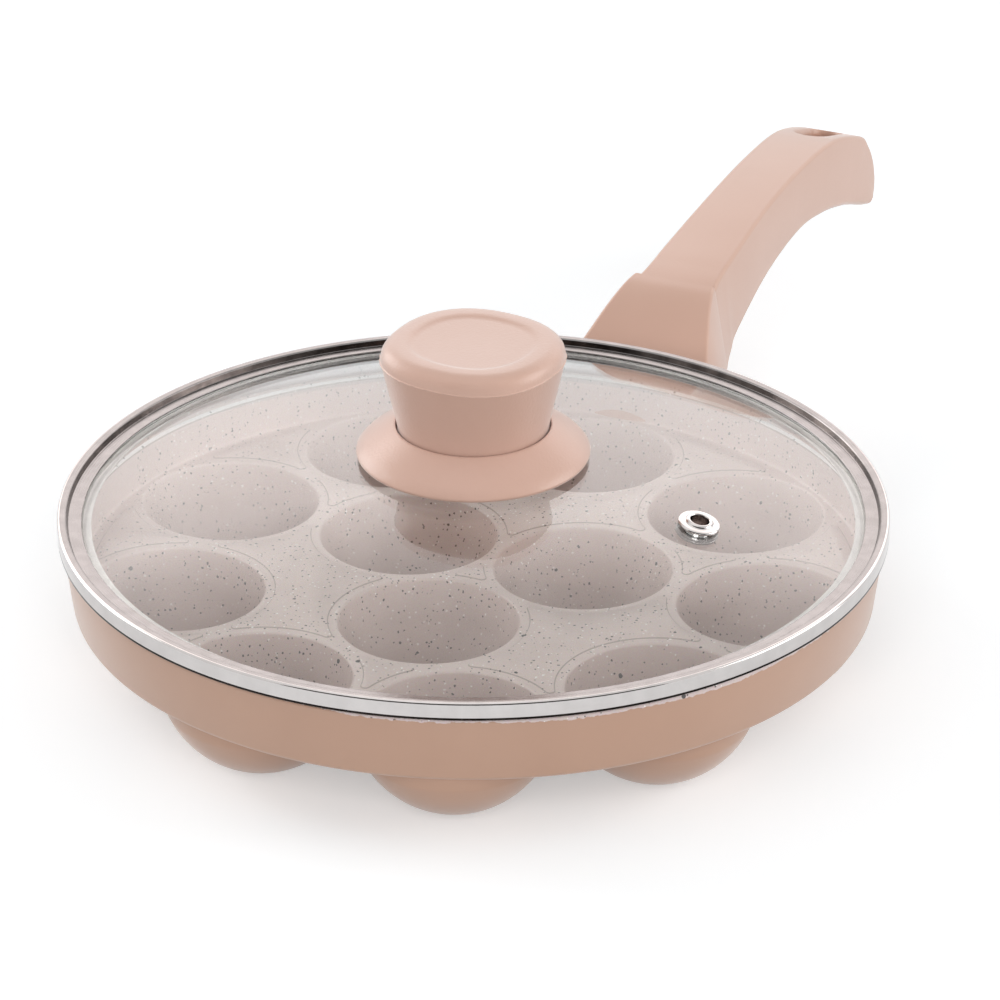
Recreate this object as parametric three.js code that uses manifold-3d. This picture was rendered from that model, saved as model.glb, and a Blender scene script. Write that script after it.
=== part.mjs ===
// Paniyaram pan: a cast pan of round cavities with a moulded handle and a loose glass lid.
// Millimetres, +Z up. The origin lies on the pan's axis, level with the surface it stands on,
// and the handle points along +Y.

import * as THREE from 'three';
import Module from 'manifold-3d';
import { mergeVertices } from 'three/addons/utils/BufferGeometryUtils.js';

const wasm = await Module();
wasm.setup();

// Clearance between two pieces that touch
const FIT = 0.3;

// Facets round large rings, the knob, cavities and small turned pieces
const RING_SIDES = 64;
const KNOB_SIDES = 32;
const CUP_SIDES = 20;
const SMALL_SIDES = 20;

// Facets along small rounds, along domes and along free curves
const ROUND_STEPS = 2;
const DOME_STEPS = 5;
const CURVE_STEPS = 5;

// A cutter runs this far past the face that it cuts
const PAST = 5;

// Corners closer than this are one corner
const WELD = 1e-4;

// Cast pan: the cavities fill the rim's circle between the webs
const PAN_RADIUS = 113.8; // outside of the rim
const CAVITY_WALL = 2.8;
const CAVITY_SINK = 2.9; // the sphere's centre stands this far above the plate
const FOOT_SLICE = 0.9; // taken off the bottom of each dome so that it stands flat
const PLATE = 2.9;
const DISH_DEPTH = 17.4; // from the plate's top up to the rim
const WALL = 3.5;
const WALL_LEAN = 1.7; // the wall draws in by this much towards the plate
const BASE_LEAN = 2.6; // the outside draws in by this much towards its lower corner
const BASE_ROUND = 2;
const LIP_ROUND = 0.9;
const FLOOR_ROUND = 1;
const OUTER_COUNT = 9;
const INNER_COUNT = 3;
const OUTER_WEB = 6.9; // metal between neighbours of the outer ring
const INNER_WEB = 3.2; // metal between neighbours of the inner ring
const WALL_WEB = 2.75; // metal between the outer ring and the wall

// Cast lug that carries the handle
const LUG_WIDTH = 16;
const LUG_THICKNESS = 6;
const LUG_SINK = 1.2; // the root reaches this far into the wall
const LUG_ROOT_LENGTH = 8; // low stretch next to the wall
const LUG_SLOPE_LENGTH = 6;
const LUG_TIP_LENGTH = 18; // raised stretch that takes the screw
const LUG_STEP = 4.5;
const LUG_HEIGHT = 3.6; // underside of the root above the plate's underside

// Handle: distances run outwards from the pan's rim, setbacks inwards from the handle's far end,
// and heights up from the plate's underside
const HANDLE_REACH = 184.2;
const RAMP_FOOT_HEIGHT = 9.8;
const RAMP_MIDDLE = 20;
const RAMP_MIDDLE_HEIGHT = 24.9;
const RAMP_LENGTH = 35.2;
const RIDGE_HEIGHT = 31.9;
const RIDGE_STEP = 1.9; // the grip starts this far behind and below the ridge
const GRIP_RISE = 57;
const GRIP_RISE_HEIGHT = 33.2;
const CROWN_SETBACK = 66;
const CROWN_HEIGHT = 37.6;
const SHOULDER_SETBACK = 38;
const SHOULDER_HEIGHT = 35.2;
const NOSE_SETBACK = 14.5;
const NOSE_HEIGHT = 26.8;
const BROW_SETBACK = 3;
const BROW_HEIGHT = 15;
const TIP_HEIGHT = 7.5;
const CHIN_SETBACK = 1.2;
const CHIN_HEIGHT = 2.2;
const TAIL_SETBACK = 4.4;
const TAIL_HEIGHT = 0.5;
const HOLLOW_SETBACK = 26;
const HOLLOW_HEIGHT = 8.9;
const ARCH_HEIGHT = 16.4;
const BELLY_RISE = 74;
const BELLY_RISE_HEIGHT = 11.2;
const HEEL_DISTANCE = 38;
const HEEL_HEIGHT = 3.4;
const HEEL_FOOT_HEIGHT = 0.9;
const GRIP_WIDTH = 19.4;
const GRIP_START_WIDTH = 21.3;
const RIDGE_WIDTH = 21.6;
const RAMP_MIDDLE_WIDTH = 23;
const BASE_WIDTH = 26;
const END_WIDTH = 20.2;
const BASE_SPREAD = 17; // at the pan, the sides lean out by this much towards the heel
const SPREAD_LENGTH = 70; // the lean fades out over this distance
const SLOT_WIDTH = 9.6;
const SLOT_LENGTH = 22;
const SLOT_SETBACK = 26; // slot centre

// Handle screw
const SCREW_RADIUS = 2.4;
const SCREW_HEAD_RADIUS = 4.6;
const SCREW_HEAD_HEIGHT = 2.2;
const SCREW_HEAD_ROUND = 0.8;
const WASHER_THICKNESS = 0.8;
const WASHER_RADIUS = 5;
const SCREW_SEAT = 1.4; // handle wall between the lug and the washer
const DRIVE_WIDTH = 1;
const DRIVE_DEPTH = 1.2;
const DRIVE_LENGTH = 5;

// Lid: glass dome and steel rim
const GLASS_THICKNESS = 3.8;
const GLASS_RISE = 19.7; // dome height from the glass edge to its centre
const GLASS_EDGE_HEIGHT = 2.4; // top of the glass edge above the pan's rim
const STEEL = 0.7;
const MOUTH_CLEARANCE = 0.6; // between the lid's seat and the pan's mouth
const RIM_OVERHANG = 1.2; // the steel bead stands out past the pan
const BEAD_HEIGHT = 4.6;
const BEAD_ROUND = 1.3;
const BEAD_WIDTH = 3;
const GROOVE_DEPTH = 2.6; // between the bead and the lip
const LIP_WIDTH = 1; // steel lip over the glass edge
const SEAT_WIDTH = 4; // steel ledge under the glass edge
const GLASS_HOLE_RADIUS = 4.2;

// Steam vent
const VENT_RADIUS = 68.6; // from the pan's axis
const VENT_ANGLE = -3.7;
const VENT_BORE = 2.6;
const VENT_TUBE = 0.7;
const VENT_FLANGE_RADIUS = 5.8;
const VENT_FLANGE = 0.8;
const VENT_BEAD = 0.8; // raised lip round the hole
const VENT_BEAD_WIDTH = 1.1;
const VENT_CLINCH = 0.6;
const VENT_WASHER = 0.8;

// Knob, guard and the screw that holds them
const GASKET_THICKNESS = 1.2;
const GASKET_RADIUS = 8.5;
const GASKET_COLLAR = 1; // wall of the collar inside the glass
const COLLAR_DEPTH = 3;
const KNOB_WASHER_THICKNESS = 1;
const KNOB_WASHER_RADIUS = 7;
const KNOB_HEAD_HEIGHT = 3;
const SKIRT_RADIUS = 32.4;
const SKIRT_LIFT = 1; // guard's edge above the glass
const SKIRT_EDGE = 0.9;
const SKIRT_WALL = 2;
const SKIRT_HEIGHT = 8.8; // from the guard's edge to its inner brim
const WELL_RADIUS = 21.4;
const WELL_DEPTH = 2.5;
const WELL_RIM = 0.6;
const HUB_RADIUS = 9;
const KNOB_CLEARANCE = 0.7; // between the knob's foot and the guard
const KNOB_HEIGHT = 26.8;
const KNOB_PARTING = 21.8; // height of the moulding line above the foot
const KNOB_LENGTH = 49.4;
const KNOB_WIDTH = 48.4;
const KNOB_SQUARENESS = 2.3; // 2 is an ellipse, larger is squarer
const KNOB_TURN = -6.4; // the knob is screwed on at this angle
const TOP_INSET = 1.8; // shoulder drawn in round the flat top
const PANEL_INSET = 6.3; // from the flat top's edge to the sunk panel
const PANEL_DEPTH = 0.6;
const INSERT_RADIUS = 4.5;
const INSERT_LENGTH = 13;
const INSERT_RECESS = 0.5;

// Levels and radii that follow from the sizes above
const mouthRadius = PAN_RADIUS - WALL;
const ringShare = Math.sin(Math.PI / OUTER_COUNT);
const cupMouth = (ringShare * (mouthRadius - WALL_WEB) - OUTER_WEB / 2) / (1 + ringShare);
const cavityRadius = Math.hypot(cupMouth, CAVITY_SINK);
const domeRadius = cavityRadius + CAVITY_WALL;
const cupCentre = domeRadius - FOOT_SLICE;
const plateTop = cupCentre - CAVITY_SINK;
const plateBottom = plateTop - PLATE;
const rimTop = plateTop + DISH_DEPTH;
const outerRing = mouthRadius - WALL_WEB - cupMouth;
const innerRing = (cupMouth + INNER_WEB / 2) / Math.sin(Math.PI / INNER_COUNT);
const floorRadius = mouthRadius - WALL_LEAN;
const baseRadius = PAN_RADIUS - BASE_LEAN;

const lidSeat = rimTop + FIT;
const beadRadius = PAN_RADIUS + RIM_OVERHANG;
const seatRadius = mouthRadius - MOUTH_CLEARANCE;
const glassRadius = seatRadius - STEEL - FIT;
const glassEdgeTop = rimTop + GLASS_EDGE_HEIGHT;
const glassTop = glassEdgeTop + GLASS_RISE;
const glassSphere = (glassRadius ** 2 + GLASS_RISE ** 2) / (2 * GLASS_RISE);
const glassCentre = glassTop - glassSphere;

const hubBottom = glassTop + FIT + GASKET_THICKNESS + FIT;
const skirtEdge = glassHeight(SKIRT_RADIUS) + SKIRT_LIFT;
const brimTop = skirtEdge + SKIRT_HEIGHT;
const wellFloor = brimTop - WELL_DEPTH;
const knobFoot = wellFloor + FIT;
const insertTop = knobFoot + INSERT_RECESS + INSERT_LENGTH;
const screwBore = SCREW_RADIUS + FIT;

function glassHeight(radius) {
  return glassCentre + Math.sqrt(glassSphere ** 2 - radius ** 2);
}

// Points on a circular arc in a profile, angles in degrees
function arc(x, y, radius, from, to, steps) {
  return Array.from({ length: steps + 1 }, (_, i) => {
    const angle = THREE.MathUtils.degToRad(from + ((to - from) * i) / steps);
    return [x + radius * Math.cos(angle), y + radius * Math.sin(angle)];
  });
}

function signedVolume(geometry) {
  const at = geometry.attributes.position;
  const [a, b, c] = [new THREE.Vector3(), new THREE.Vector3(), new THREE.Vector3()];
  let total = 0;
  for (let i = 0; i < geometry.index.count; i += 3) {
    a.fromBufferAttribute(at, geometry.index.getX(i));
    b.fromBufferAttribute(at, geometry.index.getX(i + 1));
    c.fromBufferAttribute(at, geometry.index.getX(i + 2));
    total += a.dot(b.cross(c)) / 6;
  }
  return total;
}

// Merge shared corners, drop triangles that collapsed on an axis, and turn the faces outwards
function closed(geometry) {
  const bare = geometry.clone();
  bare.deleteAttribute('normal');
  bare.deleteAttribute('uv');
  const merged = mergeVertices(bare, WELD);
  const index = merged.index.array;
  const kept = [];
  for (let i = 0; i < index.length; i += 3) {
    const corners = [index[i], index[i + 1], index[i + 2]];
    if (new Set(corners).size === 3) kept.push(...corners);
  }
  merged.setIndex(kept);
  if (signedVolume(merged) < 0) merged.setIndex(kept.reverse());
  return merged;
}

function toSolid(geometry) {
  const shell = closed(geometry);
  const vertProperties = new Float32Array(shell.attributes.position.array);
  const triVerts = new Uint32Array(shell.index.array);
  return new wasm.Manifold(new wasm.Mesh({ numProp: 3, vertProperties, triVerts }));
}

function toGeometry(solid) {
  const mesh = solid.getMesh();
  const geometry = new THREE.BufferGeometry();
  geometry.setAttribute('position', new THREE.BufferAttribute(mesh.vertProperties, 3));
  geometry.setIndex(new THREE.BufferAttribute(mesh.triVerts, 1));
  geometry.computeVertexNormals();
  return geometry;
}

// Turn a profile of [radius, height] points about the Z axis
function turned(profile, sides) {
  const points = profile.map(([radius, height]) => new THREE.Vector2(radius, height));
  return new THREE.LatheGeometry(points, sides).rotateX(Math.PI / 2);
}

function turnedRing(profile, sides) {
  return turned([...profile, profile[0]], sides);
}

function cylinder(radius, from, to, sides = SMALL_SIDES) {
  return turned([[0, from], [radius, from], [radius, to], [0, to]], sides);
}

function extruded(shape, depth) {
  return new THREE.ExtrudeGeometry(shape, { depth, bevelEnabled: false, curveSegments: CURVE_STEPS });
}

// Extrude an outline of [distance, height] points sideways, centred on the handle's middle plane
function extrudedAcross(shape, width) {
  const [x, y, z] = [new THREE.Vector3(1, 0, 0), new THREE.Vector3(0, 1, 0), new THREE.Vector3(0, 0, 1)];
  return extruded(shape, width)
    .translate(0, 0, -width / 2)
    .applyMatrix4(new THREE.Matrix4().makeBasis(y, z, x));
}

function outline(points) {
  return new THREE.Shape(points.map(([x, y]) => new THREE.Vector2(x, y)));
}

function spline(shape, points) {
  shape.splineThru(points.map(([x, y]) => new THREE.Vector2(x, y)));
}

function cavityCentres() {
  const ring = (count, radius, first) => Array.from({ length: count }, (_, i) => {
    const angle = THREE.MathUtils.degToRad(first + (360 * i) / count);
    return [radius * Math.cos(angle), radius * Math.sin(angle)];
  });
  return [...ring(OUTER_COUNT, outerRing, 90), ...ring(INNER_COUNT, innerRing, -90)];
}

// Side outline of the lug, with every face moved out by the given clearance
function lugOutline(grow) {
  const root = baseRadius - LUG_SINK;
  const low = plateBottom + LUG_HEIGHT - grow;
  const stepStart = PAN_RADIUS + LUG_ROOT_LENGTH;
  const stepEnd = stepStart + LUG_SLOPE_LENGTH;
  const tip = stepEnd + LUG_TIP_LENGTH + grow;
  const high = low + LUG_THICKNESS + 2 * grow;
  return outline([
    [root, low],
    [stepStart + grow, low],
    [stepEnd + grow, low + LUG_STEP],
    [tip, low + LUG_STEP],
    [tip, high + LUG_STEP],
    [stepEnd - grow, high + LUG_STEP],
    [stepStart - grow, high],
    [root, high],
  ]);
}

const screwDistance = PAN_RADIUS + LUG_ROOT_LENGTH + LUG_SLOPE_LENGTH + LUG_TIP_LENGTH / 2;
const lugTipBottom = plateBottom + LUG_HEIGHT + LUG_STEP;
const lugTipTop = lugTipBottom + LUG_THICKNESS;
const washerTop = lugTipBottom - FIT - SCREW_SEAT - FIT;
const headTop = washerTop - WASHER_THICKNESS - FIT;

// Casting: a shallow dish, a hemisphere under each cavity and the lug for the handle
function panBody() {
  const dish = toSolid(turned([
    [0, plateBottom],
    ...arc(baseRadius - BASE_ROUND, plateBottom + BASE_ROUND, BASE_ROUND, -90, 0, ROUND_STEPS),
    ...arc(PAN_RADIUS - LIP_ROUND, rimTop - LIP_ROUND, LIP_ROUND, 0, 90, ROUND_STEPS),
    ...arc(mouthRadius + LIP_ROUND, rimTop - LIP_ROUND, LIP_ROUND, 90, 180, ROUND_STEPS),
    ...arc(floorRadius - FLOOR_ROUND, plateTop + FLOOR_ROUND, FLOOR_ROUND, 0, -90, ROUND_STEPS),
    [0, plateTop],
  ], RING_SIDES));
  const bury = plateBottom + PLATE / 2;
  const footAngle = THREE.MathUtils.radToDeg(Math.asin(-cupCentre / domeRadius));
  const buryAngle = THREE.MathUtils.radToDeg(Math.asin((bury - cupCentre) / domeRadius));
  const dome = toSolid(turned([
    [0, 0],
    ...arc(0, cupCentre, domeRadius, footAngle, buryAngle, DOME_STEPS),
    [0, bury],
  ], CUP_SIDES));
  const mouthAngle = THREE.MathUtils.radToDeg(Math.asin(-CAVITY_SINK / cavityRadius));
  const cavity = toSolid(turned([
    ...arc(0, cupCentre, cavityRadius, -90, mouthAngle, DOME_STEPS),
    [cupMouth, rimTop],
    [0, rimTop],
  ], CUP_SIDES));
  const lug = toSolid(extrudedAcross(lugOutline(0), LUG_WIDTH));
  const tapping = toSolid(cylinder(screwBore, 0, rimTop).translate(0, screwDistance, 0));
  let body = dish.add(lug.subtract(tapping));
  for (const [x, y] of cavityCentres()) body = body.add(dome.translate([x, y, 0]));
  for (const [x, y] of cavityCentres()) body = body.subtract(cavity.translate([x, y, 0]));
  return toGeometry(body);
}

// Side outline of the handle: ramp, ridge, arched grip, drooping end and hollow underside
function handleSide() {
  const at = (distance, height) => [PAN_RADIUS + distance, plateBottom + height];
  const back = (setback, height) => at(HANDLE_REACH - setback, height);
  const shape = new THREE.Shape();
  shape.moveTo(...at(-RAMP_LENGTH, RAMP_FOOT_HEIGHT));
  shape.lineTo(...at(0, RAMP_FOOT_HEIGHT));
  spline(shape, [at(RAMP_MIDDLE, RAMP_MIDDLE_HEIGHT), at(RAMP_LENGTH, RIDGE_HEIGHT)]);
  shape.lineTo(...at(RAMP_LENGTH + RIDGE_STEP, RIDGE_HEIGHT - RIDGE_STEP));
  spline(shape, [
    at(GRIP_RISE, GRIP_RISE_HEIGHT),
    back(CROWN_SETBACK, CROWN_HEIGHT),
    back(SHOULDER_SETBACK, SHOULDER_HEIGHT),
    back(NOSE_SETBACK, NOSE_HEIGHT),
    back(BROW_SETBACK, BROW_HEIGHT),
    back(0, TIP_HEIGHT),
    back(CHIN_SETBACK, CHIN_HEIGHT),
    back(TAIL_SETBACK, TAIL_HEIGHT),
  ]);
  spline(shape, [
    back(HOLLOW_SETBACK, HOLLOW_HEIGHT),
    back(CROWN_SETBACK, ARCH_HEIGHT),
    at(BELLY_RISE, BELLY_RISE_HEIGHT),
    at(HEEL_DISTANCE, HEEL_HEIGHT),
    at(0, HEEL_FOOT_HEIGHT),
  ]);
  shape.lineTo(...at(-RAMP_LENGTH, HEEL_FOOT_HEIGHT));
  return shape;
}

// Plan outline of the handle: flared base, waist at the ridge and a slim grip
function handlePlan() {
  const edge = (sign) => [
    [sign * BASE_WIDTH / 2, PAN_RADIUS],
    [sign * RAMP_MIDDLE_WIDTH / 2, PAN_RADIUS + RAMP_MIDDLE],
    [sign * RIDGE_WIDTH / 2, PAN_RADIUS + RAMP_LENGTH],
    [sign * GRIP_START_WIDTH / 2, PAN_RADIUS + GRIP_RISE],
    [sign * GRIP_WIDTH / 2, PAN_RADIUS + HANDLE_REACH - CROWN_SETBACK],
    [sign * END_WIDTH / 2, PAN_RADIUS + HANDLE_REACH + PAST],
  ];
  const [right, left] = [edge(1), edge(-1).reverse()];
  const shape = new THREE.Shape();
  shape.moveTo(BASE_WIDTH / 2, PAN_RADIUS - RAMP_LENGTH);
  shape.lineTo(...right[0]);
  spline(shape, right.slice(1));
  shape.lineTo(...left[0]);
  spline(shape, left.slice(1));
  shape.lineTo(-BASE_WIDTH / 2, PAN_RADIUS - RAMP_LENGTH);
  return shape;
}

// The plan outline stood on edge, its foot spread sideways beside the ramp
function handleSides() {
  const low = Math.min(TAIL_HEIGHT, HEEL_FOOT_HEIGHT) - PAST;
  const depth = CROWN_HEIGHT + PAST - low;
  const geometry = extruded(handlePlan(), depth);
  const at = geometry.attributes.position;
  for (let i = 0; i < at.count; i += 1) {
    const distance = at.getY(i) - PAN_RADIUS;
    const spread = BASE_SPREAD * (1 - THREE.MathUtils.smoothstep(distance, 0, SPREAD_LENGTH));
    if (at.getZ(i) < depth / 2) at.setX(i, at.getX(i) + Math.sign(at.getX(i)) * spread);
  }
  return geometry.translate(0, 0, plateBottom + low);
}

function hangSlot() {
  const half = (SLOT_LENGTH - SLOT_WIDTH) / 2;
  const middle = PAN_RADIUS + HANDLE_REACH - SLOT_SETBACK;
  const shape = new THREE.Shape();
  shape.absarc(0, middle + half, SLOT_WIDTH / 2, 0, Math.PI);
  shape.absarc(0, middle - half, SLOT_WIDTH / 2, Math.PI, 2 * Math.PI);
  return extruded(shape, plateBottom + CROWN_HEIGHT + PAST);
}

function handle() {
  const reachAcross = 2 * (BASE_WIDTH + BASE_SPREAD);
  const pan = turned([
    [0, 0],
    [baseRadius + FIT, 0],
    [baseRadius + FIT, plateBottom],
    [PAN_RADIUS + FIT, rimTop],
    [0, rimTop],
  ], RING_SIDES);
  const cutters = [
    pan,
    extrudedAcross(lugOutline(FIT), LUG_WIDTH + 2 * FIT),
    cylinder(screwBore, 0, lugTipTop + FIT).translate(0, screwDistance, 0),
    cylinder(WASHER_RADIUS + FIT, 0, washerTop + FIT).translate(0, screwDistance, 0),
    hangSlot(),
  ];
  const blank = toSolid(extrudedAcross(handleSide(), reachAcross)).intersect(toSolid(handleSides()));
  return toGeometry(cutters.reduce((body, cutter) => body.subtract(toSolid(cutter)), blank));
}

// Screw that stands on its head, cut with a cross recess
function screw(headBottom, headHeight, top) {
  const round = SCREW_HEAD_ROUND;
  const body = toSolid(turned([
    [0, headBottom],
    ...arc(SCREW_HEAD_RADIUS - round, headBottom + round, round, -90, 0, ROUND_STEPS),
    [SCREW_HEAD_RADIUS, headBottom + headHeight],
    [SCREW_RADIUS, headBottom + headHeight],
    [SCREW_RADIUS, top],
    [0, top],
  ], SMALL_SIDES));
  const arm = toSolid(new THREE.BoxGeometry(DRIVE_LENGTH, DRIVE_WIDTH, 2 * DRIVE_DEPTH));
  const cross = arm.add(arm.rotate([0, 0, 90]));
  return body.subtract(cross.translate([0, 0, headBottom]));
}

function handleScrew() {
  const headBottom = headTop - SCREW_HEAD_HEIGHT;
  return toGeometry(screw(headBottom, SCREW_HEAD_HEIGHT, lugTipTop).translate([0, screwDistance, 0]));
}

function flatRing(inner, outer, from, to) {
  return turnedRing([[inner, from], [outer, from], [outer, to], [inner, to]], SMALL_SIDES);
}

function handleWasher() {
  return flatRing(screwBore, WASHER_RADIUS, washerTop - WASHER_THICKNESS, washerTop)
    .translate(0, screwDistance, 0);
}

// Vent parts are drawn on the Z axis with zero on the glass, then set square to the dome
function setOnVent(geometry) {
  const angle = THREE.MathUtils.degToRad(VENT_ANGLE);
  const tilt = Math.asin(VENT_RADIUS / glassSphere);
  return geometry
    .rotateY(tilt)
    .translate(VENT_RADIUS, 0, glassHeight(VENT_RADIUS))
    .rotateZ(angle);
}

function ventHole() {
  const radius = VENT_BORE + VENT_TUBE + FIT;
  return toSolid(setOnVent(cylinder(radius, -GLASS_THICKNESS - PAST, PAST)));
}

function lidGlass() {
  const edgeAngle = THREE.MathUtils.radToDeg(Math.acos(glassRadius / glassSphere));
  const holeAngle = THREE.MathUtils.radToDeg(Math.acos(GLASS_HOLE_RADIUS / glassSphere));
  const inner = glassSphere - GLASS_THICKNESS;
  const innerEdge = THREE.MathUtils.radToDeg(Math.acos(glassRadius / inner));
  const innerHole = THREE.MathUtils.radToDeg(Math.acos(GLASS_HOLE_RADIUS / inner));
  const dome = turnedRing([
    ...arc(0, glassCentre, glassSphere, edgeAngle, holeAngle, DOME_STEPS),
    ...arc(0, glassCentre, inner, innerHole, innerEdge, DOME_STEPS),
  ], RING_SIDES);
  return toGeometry(toSolid(dome).subtract(ventHole()));
}

// Rolled steel rim: a bead on the pan's rim, a groove inside it, and a channel that holds the glass edge
function lidRim() {
  const edgeBottom = glassCentre + Math.sqrt((glassSphere - GLASS_THICKNESS) ** 2 - glassRadius ** 2);
  const lipInner = glassRadius - LIP_WIDTH;
  const ledgeInner = glassRadius - SEAT_WIDTH;
  const lipUnder = glassHeight(lipInner) + FIT;
  const ledgeTop = edgeBottom - FIT;
  const beadTop = lidSeat + BEAD_HEIGHT;
  const beadInner = beadRadius - BEAD_WIDTH;
  return turnedRing([
    [seatRadius, lidSeat],
    ...arc(beadRadius - BEAD_ROUND / 2, lidSeat + BEAD_ROUND / 2, BEAD_ROUND / 2, -90, 0, ROUND_STEPS),
    ...arc(beadRadius - BEAD_ROUND, beadTop - BEAD_ROUND, BEAD_ROUND, 0, 90, ROUND_STEPS),
    ...arc(beadInner + BEAD_ROUND, beadTop - BEAD_ROUND, BEAD_ROUND, 90, 180, ROUND_STEPS),
    [beadInner, beadTop - GROOVE_DEPTH],
    [seatRadius, beadTop - GROOVE_DEPTH],
    [seatRadius, lipUnder + STEEL],
    [lipInner, lipUnder + STEEL],
    [lipInner, lipUnder],
    [glassRadius + FIT, lipUnder],
    [glassRadius + FIT, ledgeTop],
    [ledgeInner, ledgeTop],
    [ledgeInner, ledgeTop - STEEL],
    [seatRadius, ledgeTop - STEEL],
  ], RING_SIDES);
}

function ventEyelet() {
  const tube = VENT_BORE + VENT_TUBE;
  const clinchTop = -GLASS_THICKNESS - FIT - VENT_WASHER - FIT;
  const flangeTop = FIT + VENT_FLANGE;
  const beadHalf = VENT_BEAD_WIDTH / 2;
  const bead = arc(0, 0, 1, 0, 180, 2 * ROUND_STEPS)
    .map(([out, up]) => [VENT_BORE + beadHalf + beadHalf * out, flangeTop + VENT_BEAD * up]);
  return setOnVent(turnedRing([
    [VENT_BORE, clinchTop - VENT_CLINCH],
    [tube + VENT_TUBE + FIT, clinchTop - VENT_CLINCH],
    [tube + VENT_TUBE + FIT, clinchTop],
    [tube, clinchTop],
    [tube, FIT],
    [VENT_FLANGE_RADIUS, FIT],
    [VENT_FLANGE_RADIUS, flangeTop - VENT_FLANGE / 2],
    [VENT_FLANGE_RADIUS - VENT_FLANGE / 2, flangeTop],
    ...bead,
  ], SMALL_SIDES));
}

function ventWasher() {
  const top = -GLASS_THICKNESS - FIT;
  return setOnVent(flatRing(VENT_BORE + VENT_TUBE + FIT, VENT_FLANGE_RADIUS, top - VENT_WASHER, top));
}

// Round foot that grows into a rounded rectangle towards the moulding line
function knobPlan(angle, height) {
  const share = THREE.MathUtils.clamp((height - knobFoot) / KNOB_PARTING, 0, 1);
  const across = Math.abs(Math.cos(angle)) ** KNOB_SQUARENESS;
  const along = (Math.abs(Math.sin(angle)) * KNOB_LENGTH / KNOB_WIDTH) ** KNOB_SQUARENESS;
  return 1 + share * ((across + along) ** (-1 / KNOB_SQUARENESS) - 1);
}

function knob() {
  const footRadius = WELL_RADIUS - KNOB_CLEARANCE;
  const half = KNOB_LENGTH / 2;
  const parting = knobFoot + KNOB_PARTING;
  const top = knobFoot + KNOB_HEIGHT;
  const panel = half - TOP_INSET - PANEL_INSET;
  const shoulder = arc(0, 0, 1, 0, 90, DOME_STEPS)
    .map(([out, up]) => [half - TOP_INSET * (1 - out), parting + (top - parting) * up]);
  const shell = turned([
    [0, knobFoot],
    [footRadius, knobFoot],
    [footRadius, knobFoot + WELL_DEPTH],
    ...shoulder,
    [panel + PANEL_DEPTH, top],
    [panel, top - PANEL_DEPTH],
    [0, top - PANEL_DEPTH],
  ], KNOB_SIDES);
  const at = shell.attributes.position;
  for (let i = 0; i < at.count; i += 1) {
    const factor = knobPlan(Math.atan2(at.getY(i), at.getX(i)), at.getZ(i));
    at.setXY(i, at.getX(i) * factor, at.getY(i) * factor);
  }
  shell.rotateZ(THREE.MathUtils.degToRad(KNOB_TURN));
  const pocket = cylinder(INSERT_RADIUS + FIT, knobFoot - PAST, insertTop + FIT);
  return toGeometry(toSolid(shell).subtract(toSolid(pocket)));
}

// Conical guard on a hub, open underneath, with a shallow well for the knob's foot
function knobSkirt() {
  const slope = SKIRT_HEIGHT / (SKIRT_RADIUS - WELL_RADIUS - WELL_RIM);
  const under = wellFloor - SKIRT_WALL;
  const innerEdge = SKIRT_RADIUS - SKIRT_WALL;
  const underRadius = innerEdge - (under - skirtEdge) / slope;
  return turnedRing([
    [screwBore, hubBottom],
    [HUB_RADIUS, hubBottom],
    [HUB_RADIUS, under],
    [underRadius, under],
    [innerEdge, skirtEdge],
    [SKIRT_RADIUS - SKIRT_EDGE / 2, skirtEdge],
    [SKIRT_RADIUS, skirtEdge + SKIRT_EDGE],
    [WELL_RADIUS + WELL_RIM, brimTop],
    [WELL_RADIUS, brimTop],
    [WELL_RADIUS, wellFloor],
    [screwBore, wellFloor],
  ], KNOB_SIDES);
}

function knobInsert() {
  const bottom = knobFoot + INSERT_RECESS;
  return flatRing(screwBore, INSERT_RADIUS, bottom, insertTop);
}

const gasketTop = glassTop - GLASS_THICKNESS - FIT;
const knobWasherTop = gasketTop - GASKET_THICKNESS - FIT;
const knobHeadTop = knobWasherTop - KNOB_WASHER_THICKNESS - FIT;

function knobScrew() {
  return toGeometry(screw(knobHeadTop - KNOB_HEAD_HEIGHT, KNOB_HEAD_HEIGHT, insertTop - FIT));
}

function knobScrewWasher() {
  return flatRing(screwBore, KNOB_WASHER_RADIUS, knobWasherTop - KNOB_WASHER_THICKNESS, knobWasherTop);
}

function knobGasketUpper() {
  const seat = glassTop + FIT;
  const collar = screwBore + GASKET_COLLAR;
  return turnedRing([
    [screwBore, seat - COLLAR_DEPTH],
    [collar, seat - COLLAR_DEPTH],
    [collar, seat],
    [GASKET_RADIUS, seat],
    [GASKET_RADIUS, seat + GASKET_THICKNESS],
    [screwBore, seat + GASKET_THICKNESS],
  ], SMALL_SIDES);
}

function knobGasketLower() {
  return flatRing(screwBore, GASKET_RADIUS, gasketTop - GASKET_THICKNESS, gasketTop);
}

function finish(color, roughness, metalness) {
  return new THREE.MeshStandardMaterial({ color, roughness, metalness });
}

const castPaint = () => finish(0xb99884, 0.5, 0);
const softTouch = () => finish(0xd2b1a3, 0.6, 0);
const polishedSteel = () => finish(0xd0cecc, 0.15, 1);
const platedSteel = () => finish(0xa9a9a6, 0.35, 1);
const silicone = () => finish(0xd8d4cc, 0.8, 0);

function clearGlass() {
  const glass = finish(0xe9eeec, 0.05, 0);
  glass.transparent = true;
  glass.opacity = 0.3;
  return glass;
}

const pan = new THREE.Group();
const lid = new THREE.Group();
const object = new THREE.Group();
object.add(pan, lid);

function place(group, name, geometry, material) {
  const mesh = new THREE.Mesh(closed(geometry), material);
  mesh.name = name;
  group.add(mesh);
}

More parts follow.
